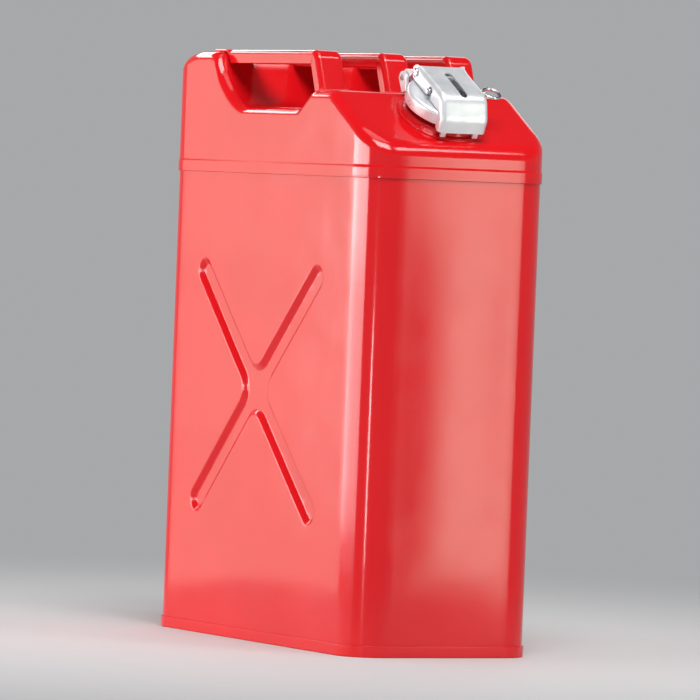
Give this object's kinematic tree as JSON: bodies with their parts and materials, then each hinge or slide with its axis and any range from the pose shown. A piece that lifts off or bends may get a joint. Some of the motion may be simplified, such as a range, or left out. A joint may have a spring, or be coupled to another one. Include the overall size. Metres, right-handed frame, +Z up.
{
  "type": "jerry can",
  "caption": "Upright steel fuel can with three carrying bars, pressed cross on its sides and a hinged cam-lever closure with a locking pin.",
  "frame": {"origin": "centre of the can's footprint, on the surface it stands on", "axes": "+Z up, +X across the can's thickness, -Y towards the spout"},
  "size_m": [0.165, 0.345, 0.47],
  "materials": {
    "body_paint": "gloss red enamel",
    "top_paint": "gloss red enamel",
    "base_paint": "gloss red enamel",
    "handle_paint": "gloss red enamel",
    "collar_paint": "gloss red enamel",
    "closure_zinc": "bright zinc plating",
    "lid_zinc": "bright zinc plating",
    "lever_zinc": "bright zinc plating",
    "pin_steel": "plated steel",
    "tube_steel": "plain steel tube",
    "gasket_rubber": "matt black nitrile"
  },
  "bodies": {
    "can": {"body_sleeve": "body_paint", "top_shell": "top_paint", "base_pan": "base_paint", "handle_left": "handle_paint", "handle_middle": "handle_paint", "handle_right": "handle_paint", "neck_collar": "collar_paint", "filler_neck": "collar_paint", "hinge_ear_left": "closure_zinc", "hinge_ear_right": "closure_zinc", "latch_lug_left": "closure_zinc", "latch_lug_right": "closure_zinc", "breather_tube": "tube_steel", "hinge_pin": "pin_steel"},
    "lid": {"lid_disc": "lid_zinc", "lid_gasket": "gasket_rubber", "lid_rivet": "pin_steel", "lid_bridge": "closure_zinc", "lever_pin": "pin_steel"},
    "lever": {"cam_lever": "lever_zinc"},
    "lock": {"locking_pin": "pin_steel"}
  },
  "joints": [
    {"name": "lid_hinge", "type": "hinge", "parent": "can", "child": "lid", "pos_m": [0, -0.10466, 0.45059], "axis": [-1, 0, 0], "range_deg": [0, 110]},
    {"name": "lever_pivot", "type": "hinge", "parent": "lid", "child": "lever", "pos_m": [0, -0.12807, 0.45465], "axis": [-1, 0, 0], "range_deg": [0, 75]},
    {"name": "locking_pin_slide", "type": "slide", "parent": "lid", "child": "lock", "axis": [1, 0, 0], "range_m": [0, 0.05]}
  ]
}
